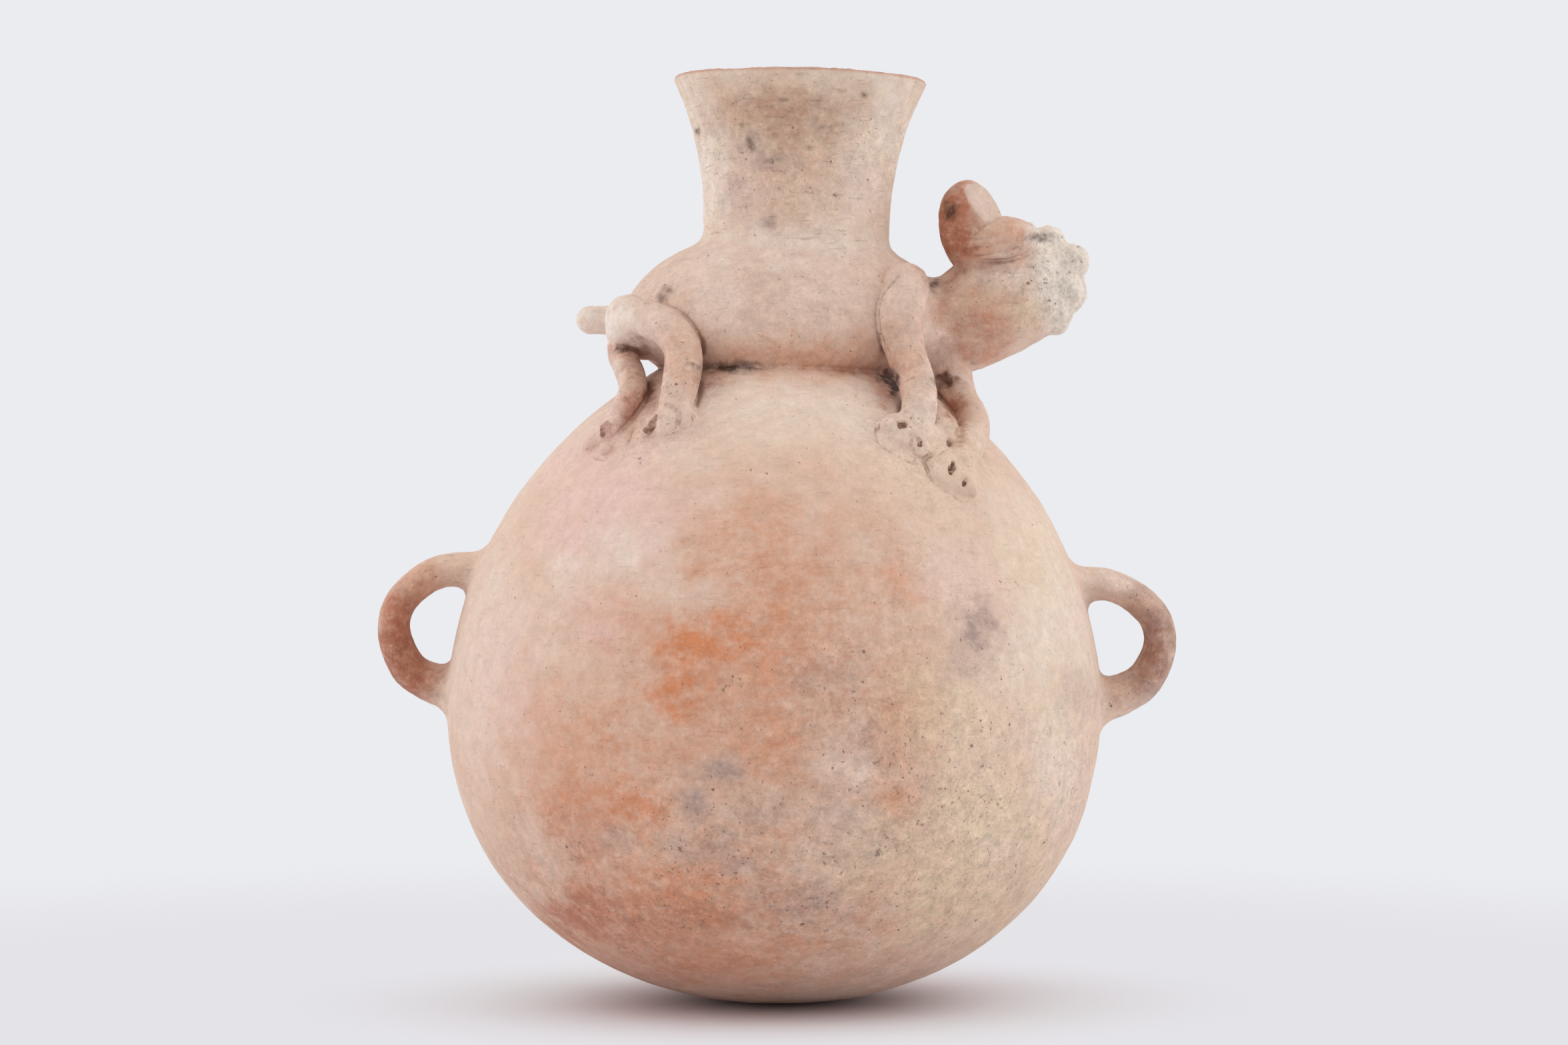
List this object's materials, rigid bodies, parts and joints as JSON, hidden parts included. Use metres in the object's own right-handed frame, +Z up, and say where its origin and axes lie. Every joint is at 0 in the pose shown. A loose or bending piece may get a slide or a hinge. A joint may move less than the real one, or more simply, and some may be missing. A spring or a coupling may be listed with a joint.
{
  "type": "clay carafe",
  "caption": "Globular fired-clay carafe with side loop handles and a hollow modelled animal on its crown, whose back rises into a flared spout for filling and pouring.",
  "frame": {"origin": "middle of the flat spot that the jar stands on", "axes": "+Z up, +X towards the animal's head, -Y towards the viewer of the picture"},
  "size_m": [0.2578, 0.21, 0.2978],
  "materials": {
    "body_clay": "unglazed, wiped, with orange, grey and buff firing clouds",
    "animal_clay": "unglazed, smoothed by hand, brown in the hollows",
    "spout_clay": "unglazed, with level wiping marks",
    "worn_clay": "bare, pitted and crusted"
  },
  "bodies": {
    "root": {"base_bowl": "body_clay", "shoulder_dome": "body_clay", "handle_left": "body_clay", "handle_right": "body_clay", "spout": "spout_clay", "animal_trunk": "animal_clay", "animal_head": "animal_clay", "animal_muzzle": "worn_clay", "ear_right": "animal_clay", "ear_left": "animal_clay", "brow_right": "animal_clay", "brow_left": "animal_clay", "animal_tail": "animal_clay", "foreleg_right": "animal_clay", "forepaw_right": "animal_clay", "foreleg_left": "animal_clay", "forepaw_left": "animal_clay", "hindleg_right": "animal_clay", "hindpaw_right": "animal_clay", "hindleg_left": "animal_clay", "hindpaw_left": "animal_clay"}
  },
  "joints": []
}
